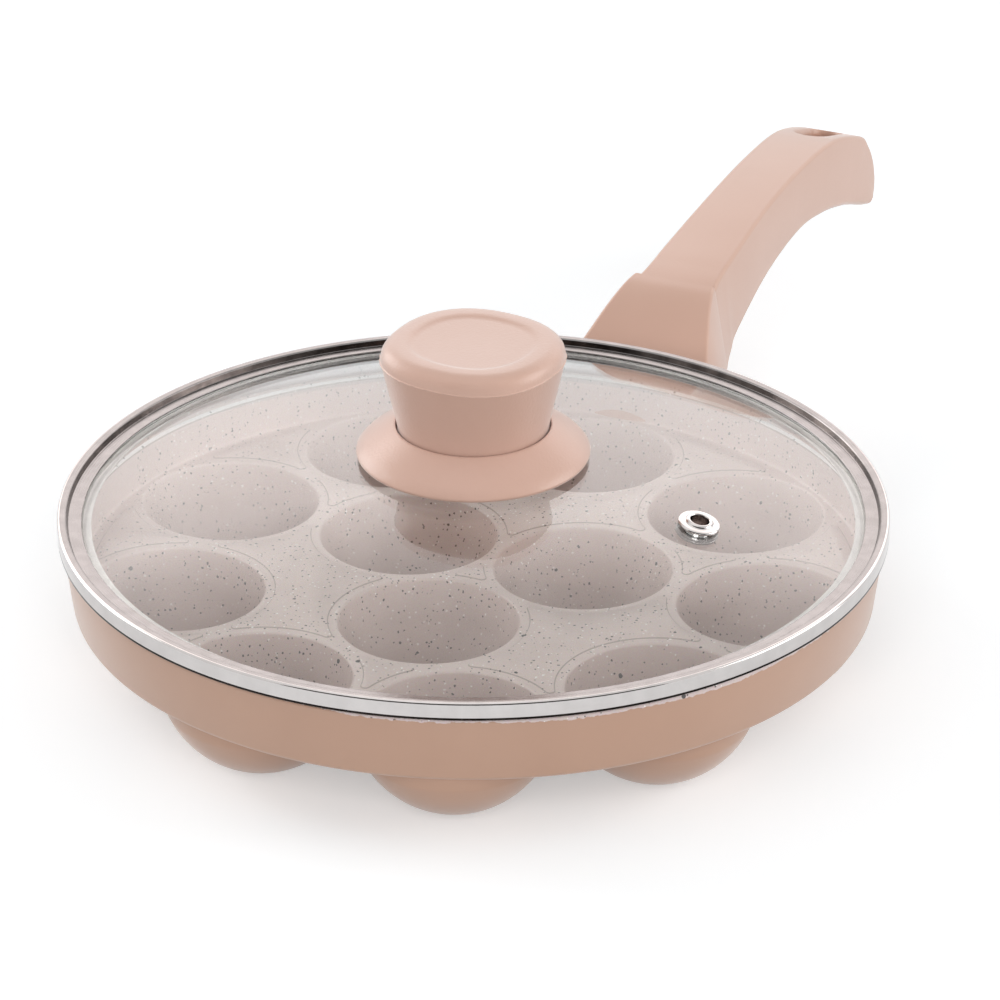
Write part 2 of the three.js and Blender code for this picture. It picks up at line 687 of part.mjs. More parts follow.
place(pan, 'pan_body', panBody(), castPaint());
place(pan, 'handle', handle(), softTouch());
place(pan, 'handle_screw', handleScrew(), platedSteel());
place(pan, 'handle_washer', handleWasher(), platedSteel());
place(lid, 'lid_glass', lidGlass(), clearGlass());
place(lid, 'lid_rim', lidRim(), polishedSteel());
place(lid, 'vent_eyelet', ventEyelet(), polishedSteel());
place(lid, 'vent_washer', ventWasher(), polishedSteel());
place(lid, 'knob', knob(), softTouch());
place(lid, 'knob_skirt', knobSkirt(), softTouch());
place(lid, 'knob_insert', knobInsert(), finish(0xb89b5a, 0.35, 1));
place(lid, 'knob_screw', knobScrew(), platedSteel());
place(lid, 'knob_screw_washer', knobScrewWasher(), platedSteel());
place(lid, 'knob_gasket_upper', knobGasketUpper(), silicone());
place(lid, 'knob_gasket_lower', knobGasketLower(), silicone());

export default object;
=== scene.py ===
"""Paniyaram pan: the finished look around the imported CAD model."""
import math

import bmesh
import bpy
from mathutils import Matrix, Vector, noise
from mathutils.geometry import interpolate_bezier, intersect_sphere_sphere_2d


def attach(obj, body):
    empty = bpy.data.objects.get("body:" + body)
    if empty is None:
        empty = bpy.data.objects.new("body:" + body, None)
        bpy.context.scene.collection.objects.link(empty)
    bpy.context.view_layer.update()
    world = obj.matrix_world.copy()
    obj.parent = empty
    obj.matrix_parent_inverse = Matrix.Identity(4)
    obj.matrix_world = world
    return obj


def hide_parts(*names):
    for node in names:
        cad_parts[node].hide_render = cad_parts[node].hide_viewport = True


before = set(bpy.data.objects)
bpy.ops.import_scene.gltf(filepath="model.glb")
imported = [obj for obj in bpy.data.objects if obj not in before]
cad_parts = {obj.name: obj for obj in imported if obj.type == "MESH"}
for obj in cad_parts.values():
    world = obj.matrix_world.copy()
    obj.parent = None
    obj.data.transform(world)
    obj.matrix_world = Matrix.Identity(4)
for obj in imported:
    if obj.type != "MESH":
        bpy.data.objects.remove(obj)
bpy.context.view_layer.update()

# Sizes in millimetres, taken from the part's source, with finer detail added. Meshes are drawn in
# millimetres and scaled to metres at the end. WELD is the distance within which vertices are merged.
MM = 0.001
WELD = 0.001
Z_AXIS = (0, 0, 1)
ACROSS = (0, 1, 0)

# Smoothness: facets round a turned piece or hole, and steps along a rounding or an arc
RING_SIDES = 240
CUP_SIDES = 72
KNOB_SIDES = 200
SMALL_SIDES = 64
HOLE_SIDES = 48
ROUND_STEPS = 5
TIP_STEPS = 8
ARC_STEPS = 18
SLOT_STEPS = 20
GLASS_STEPS = 40
RAIL_STEPS = 7
CORNER_STEPS = 6

# Casting
PAN_RADIUS = 113.8
MOUTH_RADIUS = 110.3
RIM_TOP = 41.4
PLATE_TOP = 24.0
PLATE_BOTTOM = 21.1
BASE_RADIUS = 111.2
UNDERSIDE_RADIUS = 108.95
WALL_FOOT_RADIUS = 109.2
LEDGE_SHADE = 34.2
LEDGE_FOOT = 34.75
LEDGE_TOP = 35.2
EDGE_REACH = 0.75
EDGE_ROUND = 0.74
CUP_MOUTH = 24.84
CUP_CENTRE = 26.9
CUP_RADIUS = 25.0
DOME_RADIUS = 27.8
DOME_NECK = 26.0
DOME_FOOT_ROUND = 1.2
OUTER_RING = 82.71
INNER_RING = 30.53
ISLAND_OFFSET = 2.6
ISLAND_TIP = 1.4
ISLAND_HEIGHT = 0.22
ISLAND_SLOPE = 0.3
ISLAND_STEP = 1.2
ISLAND_WALL_GAP = 4.2
OUTER_ISLANDS = 98.0

# Handle: distances are from the rim, and SLOT_TOP is above the plate's underside. ROUND_LIMIT is the most
# of a section's height that a rounding takes, and ARC_PULL bends a curve nearly to an arc.
TOP_ROUND = 1.2
BOTTOM_ROUND = 2.4
ROUND_LIMIT = 0.42
ARC_PULL = 0.55
ROOT_GAP = 0.4
SLOT_DISTANCE = 158.2
SLOT_HALF_WIDTH = 4.8
SLOT_HALF_STRAIGHT = 6.2
SLOT_TOP = 32.3
SLOT_SLOPE = 0.33
WELL_DISTANCE = 23.0
WELL_RADIUS = 5.3
WELL_TOP = 27.5
WELL_DEPTH = 40.0

# Lid
LID_SEAT = 42.0
SEAT_INNER = 109.7
SEAT_OUTER = 113.9
RIM_RADIUS = 114.98
RIM_CROWN = 46.3
CROWN_INNER = 112.5
RIM_FOOT = 41.15
RIM_FOOT_INNER = 114.2
# Height of the band along the rim's foot that is painted black as the shadow of the gap over the pan
GAP_SHADOW_HEIGHT = 0.85
LIP_FOLD = 111.9
LIP_LEVEL = 44.5
LIP_EDGE = 108.2
CHANNEL_RADIUS = 109.0
CHANNEL_FLOOR = 39.4
FLANGE_EDGE = 104.7
FLANGE_TOP = 40.95
GLASS_RADIUS = 108.7
GLASS_SPHERE = 309.74
GLASS_CENTRE = -246.24
GLASS_THICKNESS = 3.8
GLASS_HOLE = 4.2
VENT_RADIUS = 68.6
VENT_ANGLE = -3.7
VENT_HOLE = 3.6
VENT_CUT_DEPTH = 20.0
KNOB_FOOT = 69.4
KNOB_PARTING = 91.2
KNOB_TOP = 96.2
KNOB_BORE = 4.8
KNOB_BORE_TOP = 83.2
KNOB_REACH = 24.55
SEAM_RISE = 0.3
SEAM_HALF_HEIGHT = 0.25
SEAM_RAGGED = 0.012
KNOB_DISH = 0.6
KNOB_SQUARENESS = 2.3
KNOB_ASPECT = 1.02
KNOB_TURN = -6.4

# View of the photograph, in millimetres and degrees, with the aim's shift to the right and up
VIEW_AZIMUTH = 23.65
VIEW_ELEVATION = 26.53
VIEW_DISTANCE = 1568.85
VIEW_LENS = 204.29
AIM_RIGHT = 7.337
AIM_UP = 1.388

# Light: what the table and sky add, and where the lamps point, in metres
TABLE_HALF = 4
TABLE_GLOW = 0.38
TABLE_IN_METAL = 0.9
SKY_AMBIENT = 0.45
LAMP_AIM = (0, 0.05, 0.04)


def linear(code):
    """An sRGB hex colour as linear red, green, blue and alpha."""
    parts = [int(code[i:i + 2], 16) / 255 for i in (1, 3, 5)]
    return [c / 12.92 if c <= 0.04045 else ((c + 0.055) / 1.055) ** 2.4 for c in parts] + [1]


def per_mm(size):
    """Texture scale at which one repeat is this many millimetres."""
    return 1000 / size


def add(tree, kind, settings=None, inputs=None):
    """Adds a node, sets its properties, and sets or links its inputs. Numbered inputs: Map Range takes
    value, from least, from most, to least, to most; Mix takes share as 0 and its two colours as 6 and 7."""
    node = tree.nodes.new(kind)
    for name, value in (settings or {}).items():
        setattr(node, name, value)
    for name, value in (inputs or {}).items():
        if isinstance(value, bpy.types.NodeSocket):
            tree.links.new(value, node.inputs[name])
        else:
            node.inputs[name].default_value = value
    return node


def new_material(name):
    """An empty node material and its tree."""
    material = bpy.data.materials.new(name)
    material.use_nodes = True
    material.node_tree.nodes.clear()
    return material, material.node_tree


def show(tree, shader):
    """Puts a shader on the material's output."""
    add(tree, "ShaderNodeOutputMaterial", inputs={"Surface": shader})


def finish_piece(bm, name, body, materials, replaces, sharp=38):
    """Closes the mesh, scales it to metres and makes it a piece of the object in place of CAD nodes."""
    bmesh.ops.remove_doubles(bm, verts=bm.verts, dist=WELD)
    bmesh.ops.recalc_face_normals(bm, faces=bm.faces)
    bmesh.ops.scale(bm, vec=(MM, MM, MM), verts=bm.verts)
    mesh = bpy.data.meshes.new(name)
    bm.to_mesh(mesh)
    bm.free()
    for material in materials:
        mesh.materials.append(material)
    mesh.shade_smooth()
    mesh.set_sharp_from_angle(angle=math.radians(sharp))
    piece = bpy.data.objects.new(name, mesh)
    bpy.context.scene.collection.objects.link(piece)
    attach(piece, body)
    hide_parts(*replaces)


def draw_chain(bm, corners, close):
    """Edges through (radius, height, rounding) corners in the XZ plane, each corner rounded."""
    verts = [bm.verts.new((x, 0, z)) for x, z, _ in corners]
    for a, b in zip(verts, verts[1:]):
        bm.edges.new((a, b))
    if close:
        bm.edges.new((verts[-1], verts[0]))
    for size in sorted({corner[2] for corner in corners} - {0}):
        chosen = [vert for vert, corner in zip(verts, corners) if corner[2] == size]
        bmesh.ops.bevel(bm, geom=chosen, offset=size, offset_type="OFFSET", segments=ROUND_STEPS,
                        profile=0.5, affect="VERTICES", clamp_overlap=True, material=-1)


def spin_round(bm, sides):
    """Turns what is drawn a full turn round the Z axis and closes the seam."""
    bmesh.ops.spin(bm, geom=bm.verts[:] + bm.edges[:], axis=Z_AXIS, cent=(0, 0, 0),
                   angle=2 * math.pi, steps=sides, use_merge=True)
    bmesh.ops.remove_doubles(bm, verts=bm.verts, dist=WELD)


def turned(corners, sides, close=True):
    """A body of revolution from (radius, height, rounding) corners."""
    bm = bmesh.new()
    draw_chain(bm, corners, close)
    spin_round(bm, sides)
    return bm


def swept(bm, vert, centre, axis, angle, steps):
    """Draws an arc of edges from a vertex round a centre, and gives its last vertex."""
    made = bmesh.ops.spin(bm, geom=[vert], axis=axis, cent=centre, angle=angle, steps=steps)
    return next(item for item in made["geom_last"] if isinstance(item, bmesh.types.BMVert))


def joined(bm, other, at=(0, 0, 0), slot=None):
    """Adds a copy of another mesh at a place, with its faces on a material slot or on their own."""
    mesh = bpy.data.meshes.new("copy")
    other.to_mesh(mesh)
    mesh.transform(Matrix.Translation(at))
    first = len(bm.faces)
    bm.from_mesh(mesh)
    bpy.data.meshes.remove(mesh)
    bm.faces.ensure_lookup_table()
    for face in bm.faces[first:]:
        face.material_index = face.material_index if slot is None else slot


def cavity_centres():
    """Plan places of the nine outer cavities, then the three inner ones."""
    outer = [(OUTER_RING, math.radians(90 + 40 * i)) for i in range(9)]
    inner = [(INNER_RING, math.radians(120 * i - 90)) for i in range(3)]
    return [Vector((r * math.cos(a), r * math.sin(a))) for r, a in outer + inner]


# Finishes


def granite_coat(tree, place, dark, light):
    """Colour, roughness and height of the sprayed non-stick coat: warm grey with dark and pale flecks."""
    wander = 0.7 * MM
    wobble = add(tree, "ShaderNodeTexNoise", inputs={"Vector": place, "Scale": per_mm(0.9), "Detail": 2.0})
    shift = add(tree, "ShaderNodeVectorMath", {"operation": "MULTIPLY_ADD"},
                {0: wobble.outputs["Color"], 1: (wander, wander, wander), 2: place})
    clouds = add(tree, "ShaderNodeTexNoise", inputs={"Vector": place, "Scale": per_mm(9), "Detail": 3.0})
    grain = add(tree, "ShaderNodeTexNoise", inputs={"Vector": place, "Scale": per_mm(0.5), "Detail": 1.0})
    ground = add(tree, "ShaderNodeMix", {"data_type": "RGBA"},
                 {0: clouds.outputs["Fac"], 6: linear(dark), 7: linear(light)})
    colour = add(tree, "ShaderNodeMix", {"data_type": "RGBA", "blend_type": "OVERLAY"},
                 {0: 0.16, 6: ground.outputs[2], 7: grain.outputs["Color"]}).outputs[2]
    # (fleck spacing, share of cells left empty, largest radius in cells, colour)
    flecks = [(1.3, 0.40, 0.28, "#f6f1ef"), (1.2, 0.28, 0.31, "#423936"), (2.4, 0.45, 0.19, "#2a2321"),
              (7.0, 0.40, 0.115, "#1b1614")]
    edge_blur = 0.05
    for spacing, empty, largest, tint in flecks:
        cells = add(tree, "ShaderNodeTexVoronoi", inputs={
            "Vector": shift.outputs[0], "Scale": per_mm(spacing)})
        chance = add(tree, "ShaderNodeSeparateColor", inputs={0: cells.outputs["Color"]})
        radius = add(tree, "ShaderNodeMapRange", inputs={
            0: chance.outputs[0], 1: empty, 2: 1.0, 3: 0.0, 4: largest})
        inside = add(tree, "ShaderNodeMath", {"operation": "SUBTRACT"},
                     {0: radius.outputs[0], 1: cells.outputs["Distance"]})
        mask = add(tree, "ShaderNodeMapRange", inputs={
            0: inside.outputs[0], 1: 0.0, 2: edge_blur / spacing, 3: 0.0, 4: 0.95})
        colour = add(tree, "ShaderNodeMix", {"data_type": "RGBA"},
                     {0: mask.outputs[0], 6: colour, 7: linear(tint)}).outputs[2]
    # Painted shade: the coat is darker down in the cavities, from the plate's top to 10 mm below it
    level = add(tree, "ShaderNodeSeparateXYZ", inputs={0: place})
    depth = add(tree, "ShaderNodeMapRange", inputs={
        0: level.outputs["Z"], 1: PLATE_TOP * MM, 2: (PLATE_TOP - 10) * MM, 3: 0.0, 4: 1.0})
    colour = add(tree, "ShaderNodeMix", {"data_type": "RGBA", "blend_type": "MULTIPLY"},
                 {0: depth.outputs[0], 6: colour, 7: linear("#dbd5d3")}).outputs[2]
    rough = add(tree, "ShaderNodeMapRange", inputs={0: clouds.outputs["Fac"], 3: 0.42, 4: 0.54})
    return colour, rough.outputs[0], grain.outputs["Fac"]


def non_stick_coat(name, dark, light):
    """Ceramic non-stick sprayed on the casting: matt, speckled like stone, faintly pebbled."""
    material, tree = new_material(name)
    place = add(tree, "ShaderNodeTexCoord").outputs["Object"]
    colour, rough, height = granite_coat(tree, place, dark, light)
    bump = add(tree, "ShaderNodeBump", inputs={"Strength": 0.25, "Distance": 0.06 * MM, "Height": height})
    show(tree, add(tree, "ShaderNodeBsdfPrincipled", inputs={
        "Base Color": colour, "Roughness": rough, "Normal": bump.outputs[0]}).outputs[0])
    return material


def stoved_paint():
    """Heat-proof enamel stoved on the casting's outside: satin beige with a fine orange peel.
    The coat from inside laps ragged over the lip."""
    material, tree = new_material("stoved_beige_enamel")
    place = add(tree, "ShaderNodeTexCoord").outputs["Object"]
    coat = granite_coat(tree, place, "#c9b6b2", "#d8c6c2")[0]
    clouds = add(tree, "ShaderNodeTexNoise", inputs={"Vector": place, "Scale": per_mm(26), "Detail": 3.0})
    # Real orange peel is about 0.3 mm, drawn at 0.7 mm so that it shows
    peel = add(tree, "ShaderNodeTexNoise", inputs={"Vector": place, "Scale": per_mm(0.7), "Detail": 2.0})
    paint = add(tree, "ShaderNodeMix", {"data_type": "RGBA"},
                {0: clouds.outputs["Fac"], 6: linear("#b08870"), 7: linear("#ba927a")})
    ragged = add(tree, "ShaderNodeTexNoise", inputs={"Vector": place, "Scale": per_mm(1.7), "Detail": 4.0})
    broad = add(tree, "ShaderNodeTexNoise", inputs={"Vector": place, "Scale": per_mm(70), "Detail": 1.0})
    level = add(tree, "ShaderNodeSeparateXYZ", inputs={0: place})
    # Height raised by up to 1.8 mm of raggedness and 4 mm of broad wave; the coat starts above 43 mm
    edge = add(tree, "ShaderNodeMath", {"operation": "MULTIPLY_ADD"},
               {0: ragged.outputs["Fac"], 1: 1.8 * MM, 2: level.outputs["Z"]})
    edge = add(tree, "ShaderNodeMath", {"operation": "MULTIPLY_ADD"},
               {0: broad.outputs["Fac"], 1: 4 * MM, 2: edge.outputs[0]})
    lap = add(tree, "ShaderNodeMapRange", inputs={
        0: edge.outputs[0], 1: 42.9 * MM, 2: 43.1 * MM, 3: 0.0, 4: 1.0})
    colour = add(tree, "ShaderNodeMix", {"data_type": "RGBA"},
                 {0: lap.outputs[0], 6: paint.outputs[2], 7: coat})
    bump = add(tree, "ShaderNodeBump", inputs={
        "Strength": 0.16, "Distance": 0.06 * MM, "Height": peel.outputs["Fac"]})
    rough = add(tree, "ShaderNodeMapRange", inputs={0: peel.outputs["Fac"], 3: 0.28, 4: 0.38})
    show(tree, add(tree, "ShaderNodeBsdfPrincipled", inputs={
        "Base Color": colour.outputs[2], "Roughness": rough.outputs[0], "Specular IOR Level": 1.0,
        "Sheen Weight": 0.3, "Sheen Roughness": 0.4, "Normal": bump.outputs[0]}).outputs[0])
    return material


def soft_touch(name, dark, light, pebbling, dust):
    """Phenolic moulding with a sprayed soft-touch coat: silky, fine-grained, dusty white at low angles."""
    material, tree = new_material(name)
    place = add(tree, "ShaderNodeTexCoord").outputs["Object"]
    clouds = add(tree, "ShaderNodeTexNoise", inputs={"Vector": place, "Scale": per_mm(22), "Detail": 3.0})
    # Real grain is about 0.1 mm, drawn at 0.8 mm so that it shows
    grain = add(tree, "ShaderNodeTexNoise", inputs={"Vector": place, "Scale": per_mm(0.8), "Detail": 2.0})
    colour = add(tree, "ShaderNodeMix", {"data_type": "RGBA"},
                 {0: clouds.outputs["Fac"], 6: linear(dark), 7: linear(light)})
    bump = add(tree, "ShaderNodeBump", inputs={
        "Strength": pebbling, "Distance": 0.1 * MM, "Height": grain.outputs["Fac"]})
    rough = add(tree, "ShaderNodeMapRange", inputs={0: grain.outputs["Fac"], 3: 0.28, 4: 0.38})
    show(tree, add(tree, "ShaderNodeBsdfPrincipled", inputs={
        "Base Color": colour.outputs[2], "Roughness": rough.outputs[0],
        "Sheen Weight": dust, "Sheen Roughness": 0.4, "Normal": bump.outputs[0]}).outputs[0])
    return material


def metal(name, dark, light, low, high, spacing):
    """Turned metal: polish marks run round the axis, so only radius and height change them, and handling
    leaves it cloudy. Real marks are about 0.05 mm apart, drawn wider so that they show."""
    material, tree = new_material(name)
    place = add(tree, "ShaderNodeTexCoord").outputs["Object"]
    split = add(tree, "ShaderNodeSeparateXYZ", inputs={0: place})
    flat = add(tree, "ShaderNodeCombineXYZ", inputs={0: split.outputs[0], 1: split.outputs[1]})
    reach = add(tree, "ShaderNodeVectorMath", {"operation": "LENGTH"}, {0: flat.outputs[0]})
    round_place = add(tree, "ShaderNodeCombineXYZ", inputs={0: reach.outputs["Value"], 1: split.outputs[2]})
    marks = add(tree, "ShaderNodeTexNoise", inputs={
        "Vector": round_place.outputs[0], "Scale": per_mm(spacing), "Detail": 3.0})
    smear = add(tree, "ShaderNodeTexNoise", inputs={"Vector": place, "Scale": per_mm(14), "Detail": 3.0})
    mixed = add(tree, "ShaderNodeMath", {"operation": "MULTIPLY"},
                {0: marks.outputs["Fac"], 1: smear.outputs["Fac"]})
    rough = add(tree, "ShaderNodeMapRange", inputs={0: mixed.outputs[0], 1: 0.1, 2: 0.45, 3: low, 4: high})
    clouds = add(tree, "ShaderNodeTexNoise", inputs={"Vector": place, "Scale": per_mm(5), "Detail": 3.0})
    share = add(tree, "ShaderNodeMapRange", inputs={0: clouds.outputs["Fac"], 1: 0.35, 2: 0.65})
    colour = add(tree, "ShaderNodeMix", {"data_type": "RGBA"},
                 {0: share.outputs[0], 6: linear(dark), 7: linear(light)})
    bump = add(tree, "ShaderNodeBump", inputs={
        "Strength": 0.03, "Distance": 0.03 * MM, "Height": marks.outputs["Fac"]})
    show(tree, add(tree, "ShaderNodeBsdfPrincipled", inputs={
        "Base Color": colour.outputs[2], "Metallic": 1.0, "Roughness": rough.outputs[0],
        "Normal": bump.outputs[0]}).outputs[0])
    return material


def clear_glass():
    """Tempered soda-lime glass: clear, with a pale veil at low angles. Light passes it without a shadow."""
    material, tree = new_material("tempered_soda_lime_glass")
    place = add(tree, "ShaderNodeTexCoord").outputs["Object"]
    smear = add(tree, "ShaderNodeTexNoise", inputs={"Vector": place, "Scale": per_mm(30), "Detail": 4.0})
    rough = add(tree, "ShaderNodeMapRange", inputs={
        0: smear.outputs["Fac"], 1: 0.5, 2: 0.8, 3: 0.0, 4: 0.05})
    glass = add(tree, "ShaderNodeBsdfPrincipled", inputs={
        "Base Color": linear("#fbfcfb"), "Roughness": rough.outputs[0], "IOR": 1.52,
        "Transmission Weight": 1.0})
    path = add(tree, "ShaderNodeLightPath")
    passing = add(tree, "ShaderNodeMath", {"operation": "MAXIMUM"},
                  {0: path.outputs["Is Shadow Ray"], 1: path.outputs["Is Diffuse Ray"]})
    clear = add(tree, "ShaderNodeBsdfTransparent", inputs={"Color": linear("#f4f6f5")})
    show(tree, add(tree, "ShaderNodeMixShader", inputs={
        0: passing.outputs[0], 1: glass.outputs[0], 2: clear.outputs[0]}).outputs[0])
    return material


def ground_edge():
    """Ground edge of the glass: white and matt, seen from inside the glass as a pale band along the rim."""
    material, tree = new_material("ground_glass_edge")
    place = add(tree, "ShaderNodeTexCoord").outputs["Object"]
    grind = add(tree, "ShaderNodeTexNoise", inputs={"Vector": place, "Scale": per_mm(1.5), "Detail": 4.0})
    colour = add(tree, "ShaderNodeMix", {"data_type": "RGBA"},
                 {0: grind.outputs["Fac"], 6: linear("#f4f0ee"), 7: linear("#ffffff")})
    rough = add(tree, "ShaderNodeMapRange", inputs={0: grind.outputs["Fac"], 3: 0.6, 4: 0.8})
    show(tree, add(tree, "ShaderNodeBsdfPrincipled", inputs={
        "Base Color": colour.outputs[2], "Roughness": rough.outputs[0]}).outputs[0])
    return material


def silicone():
    """Moulded silicone: matt and slightly cloudy."""
    material, tree = new_material("moulded_silicone")
    place = add(tree, "ShaderNodeTexCoord").outputs["Object"]
    clouds = add(tree, "ShaderNodeTexNoise", inputs={"Vector": place, "Scale": per_mm(4), "Detail": 3.0})
    colour = add(tree, "ShaderNodeMix", {"data_type": "RGBA"},
                 {0: clouds.outputs["Fac"], 6: linear("#cfc9c2"), 7: linear("#e0dbd5")})
    rough = add(tree, "ShaderNodeMapRange", inputs={0: clouds.outputs["Fac"], 3: 0.55, 4: 0.75})
    show(tree, add(tree, "ShaderNodeBsdfPrincipled", inputs={
        "Base Color": colour.outputs[2], "Roughness": rough.outputs[0]}).outputs[0])
    return material


COAT = non_stick_coat("ceramic_non_stick_coat", "#d1bdb8", "#e0cdc8")
# Darker coat as painted shade: a thin dark line round each island's step and a strip under the wall's ledge
COAT_PAINTED_SHADE = non_stick_coat("ceramic_coat_painted_shade_line", "#a8958f", "#b5a39d")
# Pure white coat as a painted highlight: the bright line along the wall's ledge
COAT_PAINTED_HIGHLIGHT = non_stick_coat("ceramic_coat_painted_highlight_on_ledge", "#ffffff", "#ffffff")
PAINT = stoved_paint()
HANDLE_COAT = soft_touch("soft_touch_phenolic_handle", "#c7a08d", "#cea896", 0.2, 0.3)
KNOB_COAT = soft_touch("soft_touch_phenolic_knob", "#caa492", "#d1ad9e", 0.8, 0.5)
STEEL = metal("polished_stainless_steel", "#c8c3c1", "#cec9c7", 0.06, 0.14, 0.35)
SATIN = metal("satin_stainless_steel", "#858180", "#8e8a89", 0.22, 0.34, 0.35)
BLASTED = metal("bead_blasted_steel_flange", "#d9d5d3", "#e6e2e0", 0.6, 0.75, 0.35)
# Near-black steel as painted shade on the rim's inner flank
FOLD_PAINTED_SHADE = metal("steel_fold_painted_dark_shade", "#3d3735", "#574f4c", 0.16, 0.3, 0.35)
# Black steel as the painted shadow of the gap between the rim's foot and the pan
FOOT_PAINTED_GAP_SHADOW = metal("steel_foot_painted_gap_shadow", "#1f1a18", "#2e2826", 0.16, 0.3, 0.35)
PLATED = metal("zinc_plated_steel", "#aeada8", "#bab9b4", 0.28, 0.42, 0.3)
BRASS = metal("turned_brass", "#c4a25d", "#cfad68", 0.22, 0.36, 0.3)
GLASS = clear_glass()
GROUND_EDGE = ground_edge()
SILICONE = silicone()


# Casting


def island(circles, middle):
    """One raised island of the web, open underneath: arcs beside the given circles, round tips between.
    A circle is (centre, radius, side), where side is 1 outside a cavity and -1 inside the wall."""
    tips = []
    for (a, ra, sa), (b, rb, sb) in zip(circles, circles[1:] + circles[:1]):
        found = intersect_sphere_sphere_2d(a, ra + sa * ISLAND_TIP, b, rb + sb * ISLAND_TIP)
        tips.append(min(found, key=lambda point: (point - middle).length))
    bm = bmesh.new()
    vert = None
    for i, (centre, radius, _) in enumerate(circles):
        start, end = tips[i - 1] - centre, tips[i] - centre
        if vert is None:
            vert = bm.verts.new((*(centre + start.normalized() * radius), PLATE_TOP))
        turn = math.atan2(start.x * end.y - start.y * end.x, start.dot(end))
        steps = max(4, int(abs(turn) * radius / ISLAND_STEP))
        vert = swept(bm, vert, (*centre, 0), Z_AXIS, turn, steps)
        after, next_radius, _ = circles[(i + 1) % len(circles)]
        leave = centre + end.normalized() * radius - tips[i]
        meet = after + (tips[i] - after).normalized() * next_radius - tips[i]
        turn = math.atan2(leave.x * meet.y - leave.y * meet.x, leave.dot(meet)) % (2 * math.pi)
        vert = swept(bm, vert, (*tips[i], 0), Z_AXIS, turn, TIP_STEPS)
    bmesh.ops.remove_doubles(bm, verts=bm.verts, dist=WELD)
    top = bmesh.ops.edgenet_fill(bm, edges=bm.edges[:])["faces"]
    bm.normal_update()
    if top[0].normal.z < 0:
        top[0].normal_flip()
        bm.normal_update()
    bmesh.ops.inset_region(bm, faces=top, thickness=ISLAND_SLOPE, depth=ISLAND_HEIGHT,
                           use_boundary=True, use_even_offset=True)
    # The island's sloping border takes slot 2, the coat with painted shade, so a thin dark line runs round
    # it
    for face in bm.faces:
        face.material_index = 0 if min(v.co.z for v in face.verts) > PLATE_TOP + 0.01 else 2
    return bm


def islands():
    """All the islands: seven between the cavities and nine along the wall."""
    centres = cavity_centres()
    reach = CUP_MOUTH + ISLAND_OFFSET
    wall = (Vector((0, 0)), MOUTH_RADIUS - ISLAND_WALL_GAP, -1)
    groups = [[9, 10, 11], [10, 7, 8], [11, 1, 2], [9, 4, 5],
              [10, 8, 0, 1, 11], [11, 2, 3, 4, 9], [9, 5, 6, 7, 10]]
    made = []
    for group in groups:
        circles = [(centres[i], reach, 1) for i in group]
        made.append(island(circles, sum((c[0] for c in circles), Vector((0, 0))) / len(circles)))
    for i in range(9):
        a, b = centres[i], centres[(i + 1) % 9]
        made.append(island([(a, reach, 1), wall, (b, reach, 1)], (a + b).normalized() * OUTER_ISLANDS))
    return made


def cavity():
    """One cavity: a round lip into a bowl."""
    bm = bmesh.new()
    bottom = bm.verts.new((0, 0, CUP_CENTRE - CUP_RADIUS))
    reach = math.acos((CUP_CENTRE - PLATE_TOP) / CUP_RADIUS)
    mouth = swept(bm, bottom, (0, 0, CUP_CENTRE), ACROSS, -reach, ARC_STEPS)
    lip = bm.verts.new((CUP_MOUTH + EDGE_REACH, 0, PLATE_TOP))
    bm.edges.new((mouth, lip))
    bmesh.ops.bevel(bm, geom=[mouth], offset=EDGE_ROUND, offset_type="OFFSET", segments=ROUND_STEPS,
                    profile=0.5, affect="VERTICES", clamp_overlap=True, material=-1)
    spin_round(bm, CUP_SIDES)
    return bm


def dome():
    """Underside of a cavity: a short neck, a ball and a flat foot."""
    bm = bmesh.new()
    foot = math.sqrt(DOME_RADIUS ** 2 - CUP_CENTRE ** 2)
    middle = bm.verts.new((0, 0, 0))
    corner = bm.verts.new((foot, 0, 0))
    bm.edges.new((middle, corner))
    turn = math.asin(DOME_NECK / DOME_RADIUS) - math.asin(foot / DOME_RADIUS)
    neck = swept(bm, corner, (0, 0, CUP_CENTRE), ACROSS, -turn, ARC_STEPS)
    top = bm.verts.new((DOME_NECK, 0, PLATE_BOTTOM))
    bm.edges.new((neck, top))
    bmesh.ops.bevel(bm, geom=[corner], offset=DOME_FOOT_ROUND, offset_type="OFFSET", segments=ROUND_STEPS,
                    profile=0.5, affect="VERTICES", clamp_overlap=True, material=-1)
    spin_round(bm, CUP_SIDES)
    return bm


def filled_level(bm, height, slot):
    """Fills the plate between the open rims that lie at one height."""
    edges = [e for e in bm.edges
             if e.is_boundary and all(abs(v.co.z - height) < WELD for v in e.verts)]
    made = bmesh.ops.triangle_fill(bm, use_beauty=True, edges=edges, normal=Z_AXIS)
    for item in made["geom"]:
        if isinstance(item, bmesh.types.BMFace):
            item.material_index = slot


